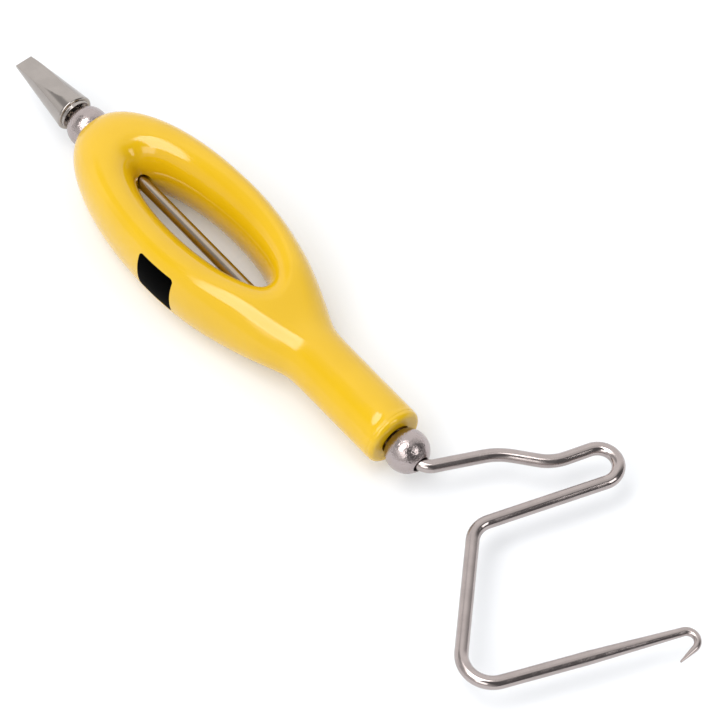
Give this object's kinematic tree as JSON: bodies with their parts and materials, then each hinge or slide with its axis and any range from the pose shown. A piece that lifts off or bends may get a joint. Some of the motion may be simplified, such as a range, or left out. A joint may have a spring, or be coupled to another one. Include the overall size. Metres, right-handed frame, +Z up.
{
  "type": "whip finisher",
  "caption": "Hand tool for finishing thread wraps: a ring handle in which a steel spindle turns freely, with a bent wire hook in front and a half-hitch tip behind.",
  "frame": {"origin": "on the spindle's axis at the middle of the handle's window", "axes": "+X along the spindle towards the hook, +Z up through the window, and the hook lies in the XY plane at rest"},
  "size_m": [0.1354, 0.0386, 0.012],
  "materials": {
    "coat": "gloss",
    "bush": "satin",
    "steel": "polished",
    "wire": "gloss",
    "tip": "satin"
  },
  "bodies": {
    "handle": {"handle": "coat", "nose_bush": "bush", "tail_bush": "bush"},
    "spindle": {"shaft": "steel", "front_ball": "steel", "rear_ball": "steel", "hook_wire": "wire", "half_hitch_tip": "tip"}
  },
  "joints": [
    {"name": "spindle_spin", "type": "hinge", "parent": "handle", "child": "spindle", "pos_m": [0, 0, 0], "axis": [1, 0, 0], "continuous": true}
  ]
}
